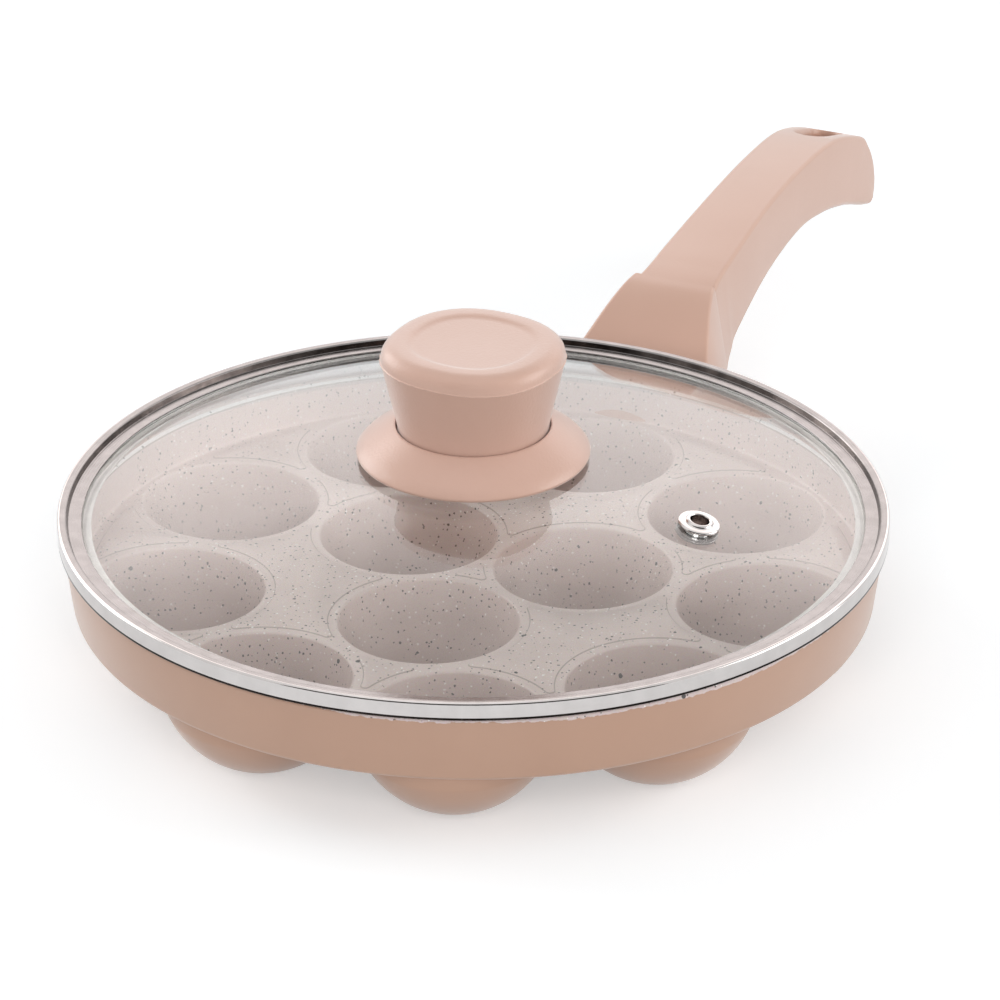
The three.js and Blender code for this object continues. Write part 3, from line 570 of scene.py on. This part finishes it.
def pan_casting():
    """The wall with its ledge, then the cavities and domes, then the web between them, closed all round."""
    bm = turned([
        (WALL_FOOT_RADIUS - EDGE_REACH, PLATE_TOP, 0),
        (WALL_FOOT_RADIUS, PLATE_TOP, EDGE_ROUND),
        (MOUTH_RADIUS - 0.97, LEDGE_SHADE, 0),
        (MOUTH_RADIUS - 0.95, LEDGE_FOOT, 0.1),
        (MOUTH_RADIUS - 0.3, LEDGE_TOP, 0.1),
        (MOUTH_RADIUS, RIM_TOP, 0.9),
        (PAN_RADIUS, RIM_TOP, 2.0),
        (BASE_RADIUS, PLATE_BOTTOM, 1.6),
        (UNDERSIDE_RADIUS, PLATE_BOTTOM, 0),
    ], RING_SIDES, close=False)
    for face in bm.faces:
        middle = face.calc_center_median()
        inside = middle.xy.length < (MOUTH_RADIUS + PAN_RADIUS) / 2 and middle.z > PLATE_TOP
        # The strip just under the ledge takes slot 2, the painted shade of the ledge
        shade = inside and LEDGE_SHADE < middle.z < LEDGE_FOOT - 0.05
        # The ledge itself takes slot 3, the white coat that paints a highlight line on it
        ledge = inside and LEDGE_FOOT - 0.05 < middle.z < LEDGE_TOP + 0.05
        face.material_index = 2 if shade else 3 if ledge else 0 if inside else 1
    cup, ball = cavity(), dome()
    for centre in cavity_centres():
        joined(bm, cup, (*centre, 0), 0)
        joined(bm, ball, (*centre, 0), 1)
    for raised in islands():
        joined(bm, raised)
    filled_level(bm, PLATE_TOP, 0)
    filled_level(bm, PLATE_BOTTOM, 1)
    finish_piece(bm, "pan_casting", "pan", [COAT, PAINT, COAT_PAINTED_SHADE, COAT_PAINTED_HIGHLIGHT],
                 ["pan_body"])


# Handle


def rails(points):
    """A smooth run through (half width, distance from the rim, height above the plate's underside).
    At each point it runs parallel to the line between the points before and after."""
    stops = [Vector((x, PAN_RADIUS + d, PLATE_BOTTOM + h)) for x, d, h in points]
    padded = [stops[0], *stops, stops[-1]]
    path = []
    for before, a, b, after in zip(padded, padded[1:], padded[2:], padded[3:]):
        path += interpolate_bezier(a, a + (b - before) / 6, b - (after - a) / 6, b, RAIL_STEPS)[:-1]
    return path + [stops[-1]]


RAMP_TOP = [(24.9, 0, 9.8), (20.0, 11.8, 18.6), (16.8, 21, 25.6), (15.2, 26, 28.8), (13.9, 31, 31.0),
            (12.9, 35.2, 32.0)]
RAMP_BOTTOM = [(28.0, 0, 0.9), (25.6, 11.8, 1.6), (22.8, 21, 2.2), (21.1, 26, 2.5), (19.3, 31, 2.9),
               (17.8, 35.2, 3.2)]
GRIP_TOP = [(12.45, 37.0, 30.1), (11.85, 42, 31.1), (11.5, 47, 31.9), (11.2, 57, 33.3), (10.1, 88, 36.7),
            (9.9, 118.2, 37.7), (10.1, 146.2, 35.5), (10.2, 170.5, 27.4), (10.22, 177.3, 22.1),
            (10.25, 182.2, 15.3), (10.3, 184.22, 8), (10.3, 183.4, 2.3)]
GRIP_BOTTOM = [(17.3, 37.0, 3.4), (15.8, 42, 4.2), (14.6, 47, 5.0), (12.6, 57, 7.0), (10.5, 88, 13.3),
               (9.9, 117, 15.9), (10.1, 139, 13.3), (10.2, 157, 8.6), (10.22, 163, 6.5),
               (10.25, 168, 4.6), (10.3, 176, 1.3), (10.3, 179.6, 0.3)]


def handle_section(bm, top, bottom, top_round, bottom_round):
    """One closed loop round the handle, its four corners rounded nearly as arcs."""
    mirror = Matrix.Diagonal((-1, 1, 1))
    corners = [bottom, top, mirror @ top, mirror @ bottom]
    sizes = [bottom_round, top_round, top_round, bottom_round]
    most = ROUND_LIMIT * (top - bottom).length
    verts = []
    for i, (corner, size) in enumerate(zip(corners, sizes)):
        size = min(size, most)
        start = corner + (corners[i - 1] - corner).normalized() * size
        end = corner + (corners[(i + 1) % 4] - corner).normalized() * size
        pulls = start.lerp(corner, ARC_PULL), end.lerp(corner, ARC_PULL)
        for point in interpolate_bezier(start, *pulls, end, CORNER_STEPS):
            verts.append(bm.verts.new(point))
    return verts, [bm.edges.new(pair) for pair in zip(verts, verts[1:] + verts[:1])]


def cutter(bm):
    """Makes a mesh an object for a Boolean cut."""
    mesh = bpy.data.meshes.new("cutter")
    bmesh.ops.recalc_face_normals(bm, faces=bm.faces)
    bm.to_mesh(mesh)
    bm.free()
    tool = bpy.data.objects.new("cutter", mesh)
    bpy.context.scene.collection.objects.link(tool)
    return tool


def cut(bm, tools):
    """Subtracts closed meshes from a closed mesh."""
    work = cutter(bm)
    for tool in tools:
        change = work.modifiers.new("cut", "BOOLEAN")
        change.operation = "DIFFERENCE"
        change.solver = "EXACT"
        change.object = tool
    result = bmesh.new()
    result.from_object(work, bpy.context.evaluated_depsgraph_get())
    for item in [work, *tools]:
        bpy.data.objects.remove(item)
    return result


def slot_ring(bm, height, widening):
    """Round-ended outline of the hang slot at one level."""
    first = len(bm.edges)
    reach = SLOT_HALF_WIDTH + widening
    end = SLOT_HALF_STRAIGHT
    right = bm.verts.new((reach, end, height))
    far = swept(bm, right, (0, end, height), Z_AXIS, math.pi, SLOT_STEPS)
    left = bm.verts.new((-reach, -end, height))
    bm.edges.new((far, left))
    near = swept(bm, left, (0, -end, height), Z_AXIS, math.pi, SLOT_STEPS)
    bm.edges.new((near, right))
    bm.edges.ensure_lookup_table()
    return bm.edges[first:]


def slot_cutter():
    """Hang slot through the handle's end. It opens in a funnel along the sloping top."""
    bm = bmesh.new()
    top = PLATE_BOTTOM + SLOT_TOP
    # (height, widening) from below the handle to above it
    levels = [(0, 0), (top - 2.4, 0), (top - 1.3, 0.25), (top - 0.5, 0.8), (top + 0.1, 2.0), (top + 9, 2.6)]
    rings = [slot_ring(bm, height, widening) for height, widening in levels]
    for near, far in zip(rings, rings[1:]):
        bmesh.ops.bridge_loops(bm, edges=near + far)
    for edges in (rings[0], rings[-1]):
        bmesh.ops.contextual_create(bm, geom=edges)
    for vert in bm.verts:
        vert.co.z -= SLOT_SLOPE * vert.co.y
    bmesh.ops.translate(bm, verts=bm.verts, vec=(0, PAN_RADIUS + SLOT_DISTANCE, 0))
    return cutter(bm)


def well_cutter():
    """Round well for the screw head, in the handle's underside."""
    bm = bmesh.new()
    bmesh.ops.create_cone(bm, cap_ends=True, segments=HOLE_SIDES, radius1=WELL_RADIUS, radius2=WELL_RADIUS,
                          depth=WELL_DEPTH)
    bmesh.ops.translate(bm, verts=bm.verts, vec=(0, PAN_RADIUS + WELL_DISTANCE, WELL_TOP - WELL_DEPTH / 2))
    return cutter(bm)


def handle():
    """Sections bridged from the pan's wall to the nose. The first one is bent to the wall's curve."""
    tops = rails(RAMP_TOP) + rails(GRIP_TOP)
    bottoms = rails(RAMP_BOTTOM) + rails(GRIP_BOTTOM)
    bm = bmesh.new()
    loops = [handle_section(bm, top, bottom, TOP_ROUND, BOTTOM_ROUND) for top, bottom in zip(tops, bottoms)]
    for vert in loops[0][0]:
        lean = (vert.co.z - PLATE_BOTTOM) / (RIM_TOP - PLATE_BOTTOM) * (PAN_RADIUS - BASE_RADIUS)
        vert.co.y = math.sqrt((BASE_RADIUS + lean + ROOT_GAP) ** 2 - vert.co.x ** 2)
    for (_, near), (_, far) in zip(loops, loops[1:]):
        bmesh.ops.bridge_loops(bm, edges=near + far)
    for _, edges in (loops[0], loops[-1]):
        bmesh.ops.contextual_create(bm, geom=edges)
    bm = cut(bm, [slot_cutter(), well_cutter()])
    finish_piece(bm, "handle_moulding", "pan", [HANDLE_COAT], ["handle"])


# Lid


def lid_glass():
    """Two arcs of the dome turned round the axis, with the knob screw's hole and the vent's hole."""
    bm = bmesh.new()
    inner = GLASS_SPHERE - GLASS_THICKNESS
    ends = []
    for radius in (GLASS_SPHERE, inner):
        hole = math.asin(GLASS_HOLE / radius)
        reach = math.asin(GLASS_RADIUS / radius)
        start = bm.verts.new((GLASS_HOLE, 0, GLASS_CENTRE + radius * math.cos(hole)))
        ends.append((start, swept(bm, start, (0, 0, GLASS_CENTRE), ACROSS, reach - hole, GLASS_STEPS)))
    bm.edges.new((ends[0][0], ends[1][0]))
    bm.edges.new((ends[0][1], ends[1][1]))
    spin_round(bm, RING_SIDES)
    plug = bmesh.new()
    bmesh.ops.create_cone(plug, cap_ends=True, segments=HOLE_SIDES, radius1=VENT_HOLE, radius2=VENT_HOLE,
                          depth=VENT_CUT_DEPTH)
    bmesh.ops.transform(plug, matrix=vent_place(), verts=plug.verts)
    bm = cut(bm, [cutter(plug)])
    for face in bm.faces:
        face.material_index = 1 if face.calc_center_median().xy.length > GLASS_RADIUS - 0.05 else 0
    finish_piece(bm, "glass_dome", "lid", [GLASS, GROUND_EDGE], ["lid_glass"], sharp=25)


def lid_rim():
    """Folded steel rim: polished outer face, satin top and lip over the glass, and under the
    glass a channel with a blasted flange. Painted shade darkens the inner flank below the crown, and a
    painted shadow of the gap over the pan blackens a band along the foot."""
    bm = turned([
        (SEAT_INNER, LID_SEAT, 0.2),
        (SEAT_OUTER, LID_SEAT, 0.2),
        (RIM_FOOT_INNER, RIM_FOOT, 0.15),
        (RIM_RADIUS, RIM_FOOT, 0.4),
        (RIM_RADIUS, RIM_FOOT + GAP_SHADOW_HEIGHT, 0),
        (RIM_RADIUS, RIM_CROWN, 0.7),
        (CROWN_INNER, RIM_CROWN, 0.5),
        (LIP_FOLD, LIP_LEVEL, 0.2),
        (LIP_EDGE, LIP_LEVEL + 0.15, 0.2),
        (LIP_EDGE, LIP_LEVEL - 0.3, 0.15),
        (CHANNEL_RADIUS, LIP_LEVEL - 0.5, 0),
        (CHANNEL_RADIUS, CHANNEL_FLOOR, 0),
        (FLANGE_EDGE, FLANGE_TOP, 0.15),
        (FLANGE_EDGE, FLANGE_TOP - 0.6, 0.2),
        (SEAT_INNER, CHANNEL_FLOOR - 0.65, 0.3),
    ], RING_SIDES)
    for face in bm.faces:
        middle = face.calc_center_median()
        reach = middle.xy.length
        outer = reach > RIM_FOOT_INNER + 0.05 and middle.z > RIM_FOOT + GAP_SHADOW_HEIGHT
        # The flank inside the crown takes slot 2, the steel with painted shade
        flank = LIP_FOLD < reach < CROWN_INNER - 0.05 and middle.z > LIP_LEVEL + 0.1
        # The band along the foot takes slot 4, the painted shadow of the gap over the pan
        foot = reach > SEAT_OUTER - 0.1 and middle.z < RIM_FOOT + GAP_SHADOW_HEIGHT
        flange = reach < SEAT_INNER - 0.2 and middle.z < RIM_FOOT + 0.05
        face.material_index = 0 if outer else 2 if flank else 3 if flange else 4 if foot else 1
    finish_piece(bm, "rolled_rim", "lid", [STEEL, SATIN, FOLD_PAINTED_SHADE, BLASTED, FOOT_PAINTED_GAP_SHADOW],
                 ["lid_rim"])


def vent_place():
    """Turns and moves what is drawn on the Z axis, with zero on the glass, to the vent."""
    tilt = math.asin(VENT_RADIUS / GLASS_SPHERE)
    height = GLASS_CENTRE + math.sqrt(GLASS_SPHERE ** 2 - VENT_RADIUS ** 2)
    return (Matrix.Rotation(math.radians(VENT_ANGLE), 4, "Z") @ Matrix.Translation((VENT_RADIUS, 0, height))
            @ Matrix.Rotation(tilt, 4, "Y"))


def vent():
    """Steam eyelet and the ring under the glass, both turned on the Z axis and moved to the vent's hole."""
    eyelet = turned([
        (2.6, -5.8, 0.2),
        (4.3, -5.8, 0.3),
        (4.3, -5.2, 0.1),
        (3.3, -5.2, 0),
        (3.3, 0.3, 0),
        (5.8, 0.3, 0.15),
        (5.8, 1.1, 0.5),
        (3.9, 1.15, 0.3),
        (3.5, 1.9, 0.5),
        (2.6, 1.9, 0.6),
    ], SMALL_SIDES)
    bmesh.ops.transform(eyelet, matrix=vent_place(), verts=eyelet.verts)
    finish_piece(eyelet, "vent_eyelet_shell", "lid", [STEEL], ["vent_eyelet"])
    ring = turned([(3.6, -4.9, 0.15), (5.8, -4.9, 0.25), (5.8, -4.1, 0.25), (3.6, -4.1, 0.15)], SMALL_SIDES)
    bmesh.ops.transform(ring, matrix=vent_place(), verts=ring.verts)
    finish_piece(ring, "vent_backing_ring", "lid", [SATIN], ["vent_washer"])


def knob():
    """Turned blank whose round foot is drawn out to a rounded square towards the moulding line."""
    bm = turned([
        (0, KNOB_BORE_TOP, 0),
        (KNOB_BORE, KNOB_BORE_TOP, 0.3),
        (KNOB_BORE, KNOB_FOOT, 0),
        (20.7, KNOB_FOOT, 0.6),
        (20.9, KNOB_FOOT + 2.6, 1.0),
        (KNOB_REACH, KNOB_PARTING - SEAM_HALF_HEIGHT, 0.1),
        (KNOB_REACH + SEAM_RISE, KNOB_PARTING, 0.1),
        (KNOB_REACH, KNOB_PARTING + SEAM_HALF_HEIGHT, 0.1),
        (24.2, KNOB_TOP, 3.8),
        (17.6, KNOB_TOP, 0.8),
        (16.0, KNOB_TOP - KNOB_DISH, 0.8),
        (0, KNOB_TOP - KNOB_DISH, 0),
    ], KNOB_SIDES, close=False)
    for vert in bm.verts:
        angle = math.atan2(vert.co.y, vert.co.x)
        share = min(max((vert.co.z - KNOB_FOOT) / (KNOB_PARTING - KNOB_FOOT), 0), 1)
        # The bore stays round
        if vert.co.xy.length < KNOB_BORE + 0.2:
            share = 0
        square = (abs(math.cos(angle)) ** KNOB_SQUARENESS
                  + abs(math.sin(angle) * KNOB_ASPECT) ** KNOB_SQUARENESS) ** (-1 / KNOB_SQUARENESS)
        vert.co.xy *= 1 + share * (square - 1)
        if abs(vert.co.z - KNOB_PARTING) < 0.1:
            vert.co.xy *= 1 + SEAM_RAGGED * noise.noise(vert.co * 0.9)
    turn = Matrix.Rotation(math.radians(KNOB_TURN), 3, "Z")
    bmesh.ops.rotate(bm, verts=bm.verts, cent=(0, 0, 0), matrix=turn)
    finish_piece(bm, "knob_moulding", "lid", [KNOB_COAT], ["knob"])


def knob_guard():
    """Conical finger guard with a recess that the knob's foot stands in."""
    bm = turned([
        (2.7, 65.3, 0),
        (9.0, 65.3, 0.5),
        (9.0, 67.1, 0.5),
        (25.3, 67.1, 1.0),
        (30.4, 62.8, 0.2),
        (31.9, 62.8, 0.4),
        (32.4, 63.7, 0.4),
        (31.0, 65.7, 1.6),
        (22.1, 71.6, 0.6),
        (21.4, 71.6, 0.25),
        (21.4, 69.1, 0.4),
        (2.7, 69.1, 0),
    ], RING_SIDES)
    finish_piece(bm, "finger_guard", "lid", [KNOB_COAT], ["knob_skirt"])


pan_casting()
handle()
lid_glass()
lid_rim()
vent()
knob()
knob_guard()

for name, material in [("handle_screw", PLATED), ("handle_washer", PLATED), ("knob_insert", BRASS),
                       ("knob_screw", PLATED), ("knob_screw_washer", PLATED),
                       ("knob_gasket_upper", SILICONE), ("knob_gasket_lower", SILICONE)]:
    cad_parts[name].data.materials.clear()
    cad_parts[name].data.materials.append(material)


# Floor, light and camera


def studio_floor():
    """White table that takes the pan's shadow. The eye sees it white, also through glass; metal sees pale
    grey."""
    bm = bmesh.new()
    bmesh.ops.create_grid(bm, x_segments=1, y_segments=1, size=TABLE_HALF)
    mesh = bpy.data.meshes.new("studio_floor")
    bm.to_mesh(mesh)
    bm.free()
    floor = bpy.data.objects.new("studio_floor", mesh)
    bpy.context.scene.collection.objects.link(floor)
    material, tree = new_material("white_table")
    path = add(tree, "ShaderNodeLightPath")
    seen = add(tree, "ShaderNodeMath", {"operation": "MULTIPLY_ADD", "use_clamp": True},
               {0: path.outputs["Is Glossy Ray"], 1: TABLE_IN_METAL, 2: path.outputs["Is Camera Ray"]})
    seen = add(tree, "ShaderNodeMath", {"operation": "ADD", "use_clamp": True},
               {0: seen.outputs[0], 1: path.outputs["Is Transmission Ray"]})
    glow = add(tree, "ShaderNodeMath", {"operation": "MULTIPLY"}, {0: seen.outputs[0], 1: TABLE_GLOW})
    light = add(tree, "ShaderNodeEmission", inputs={
        "Color": linear("#ffffff"), "Strength": glow.outputs[0]})
    chalk = add(tree, "ShaderNodeBsdfDiffuse", inputs={"Color": linear("#e3e6e8")})
    show(tree, add(tree, "ShaderNodeAddShader", inputs={
        0: light.outputs[0], 1: chalk.outputs[0]}).outputs[0])
    mesh.materials.append(material)


def studio_world():
    """White surroundings for the eye, gloss and glass, and dimmer ones as light on the pan."""
    world = bpy.data.worlds.new("studio")
    bpy.context.scene.world = world
    world.use_nodes = True
    tree = world.node_tree
    tree.nodes.clear()
    path = add(tree, "ShaderNodeLightPath")
    seen = add(tree, "ShaderNodeMath", {"operation": "ADD", "use_clamp": True},
               {0: path.outputs["Is Camera Ray"], 1: path.outputs["Is Glossy Ray"]})
    seen = add(tree, "ShaderNodeMath", {"operation": "ADD", "use_clamp": True},
               {0: seen.outputs[0], 1: path.outputs["Is Transmission Ray"]})
    level = add(tree, "ShaderNodeMapRange", inputs={0: seen.outputs[0], 3: SKY_AMBIENT, 4: 1.0})
    sky = add(tree, "ShaderNodeBackground", inputs={
        "Color": linear("#ffffff"), "Strength": level.outputs[0]})
    add(tree, "ShaderNodeOutputWorld", inputs={"Surface": sky.outputs[0]})


def card(name, turn, away, low, high, half_width, middle, edge):
    """Upright card beside the set that only reflections show. It glows most half way up."""
    half_height = (high - low) / 2
    centre = (low + high) / 2
    upright = Matrix.Rotation(math.pi / 2, 3, "X")
    facing = Matrix.Rotation(math.radians(turn), 3, "Z")
    bm = bmesh.new()
    bmesh.ops.create_grid(bm, x_segments=1, y_segments=1, size=1)
    bmesh.ops.scale(bm, vec=(half_width, half_height, 1), verts=bm.verts)
    bmesh.ops.rotate(bm, verts=bm.verts, cent=(0, 0, 0), matrix=upright)
    bmesh.ops.translate(bm, verts=bm.verts, vec=(0, away, centre))
    bmesh.ops.rotate(bm, verts=bm.verts, cent=(0, 0, 0), matrix=facing)
    mesh = bpy.data.meshes.new(name)
    bm.to_mesh(mesh)
    bm.free()
    board = bpy.data.objects.new(name, mesh)
    bpy.context.scene.collection.objects.link(board)
    material, tree = new_material(name)
    place = add(tree, "ShaderNodeTexCoord").outputs["Object"]
    level = add(tree, "ShaderNodeSeparateXYZ", inputs={0: place})
    off = add(tree, "ShaderNodeMath", {"operation": "SUBTRACT"}, {0: level.outputs["Z"], 1: centre})
    off = add(tree, "ShaderNodeMath", {"operation": "ABSOLUTE"}, {0: off.outputs[0]})
    glow = add(tree, "ShaderNodeMapRange", inputs={
        0: off.outputs[0], 1: 0.0, 2: half_height, 3: middle, 4: edge})
    show(tree, add(tree, "ShaderNodeEmission", inputs={
        "Color": linear("#fff8f6"), "Strength": glow.outputs[0]}).outputs[0])
    mesh.materials.append(material)
    board.visible_camera = False
    board.visible_diffuse = False
    board.visible_transmission = False
    board.visible_shadow = False


def bright_backdrop():
    """Strongly lit wall behind the pan, which lays the pale veil on the back of the glass."""
    card("bright_backdrop", turn=VIEW_AZIMUTH, away=1.6, low=0.15, high=2.15, half_width=2.2,
         middle=3.0, edge=1.2)


def dark_studio():
    """Unlit room on the viewer's side, which puts the dark lines on the steel."""
    card("dark_studio", turn=VIEW_AZIMUTH + 180, away=2.2, low=0.0, high=2.6, half_width=2.6,
         middle=0.1, edge=0.05)


def softbox(name, place, size, power, mirrored=True):
    """Square lamp. One that isn't mirrored lights the pan without a bright patch in steel and gloss."""
    lamp = bpy.data.lights.new(name, "AREA")
    lamp.shape = "SQUARE"
    lamp.size = size
    lamp.energy = power
    box = bpy.data.objects.new(name, lamp)
    box.location = place
    box.visible_glossy = mirrored
    box.rotation_euler = (Vector(LAMP_AIM) - Vector(place)).to_track_quat("-Z", "Y").to_euler()
    bpy.context.scene.collection.objects.link(box)


def camera():
    """The photograph's view: 204 mm lens from 1.57 m, 26.5 degrees above the table."""
    azimuth = math.radians(VIEW_AZIMUTH)
    height = math.radians(VIEW_ELEVATION)
    middle = Vector((0, 0, RIM_CROWN)) * MM
    level = math.cos(height)
    toward = Vector((math.sin(azimuth) * level, -math.cos(azimuth) * level, math.sin(height)))
    right = Vector((math.cos(azimuth), math.sin(azimuth), 0))
    lens = bpy.data.cameras.new("photo_view")
    lens.sensor_width = 36
    lens.lens = VIEW_LENS
    lens.clip_start = 0.05
    eye = bpy.data.objects.new("photo_view", lens)
    eye.location = middle + toward * VIEW_DISTANCE * MM
    aim = middle + right * AIM_RIGHT * MM + toward.cross(right) * AIM_UP * MM
    eye.rotation_euler = (aim - eye.location).to_track_quat("-Z", "Y").to_euler()
    bpy.context.scene.collection.objects.link(eye)
    bpy.context.scene.camera = eye


studio_floor()
studio_world()
bright_backdrop()
dark_studio()
softbox("top_softbox", place=(-0.15, -0.25, 1.5), size=1.0, power=1.0)
softbox("front_softbox", place=(0.6, -1.5, 0.85), size=1.0, power=13.0, mirrored=False)
softbox("left_softbox", place=(-1.25, 0.15, 0.5), size=0.9, power=8.5)
softbox("right_softbox", place=(1.25, 0.55, 0.5), size=0.9, power=8.5)
camera()
bpy.context.scene.view_settings.view_transform = "Standard"
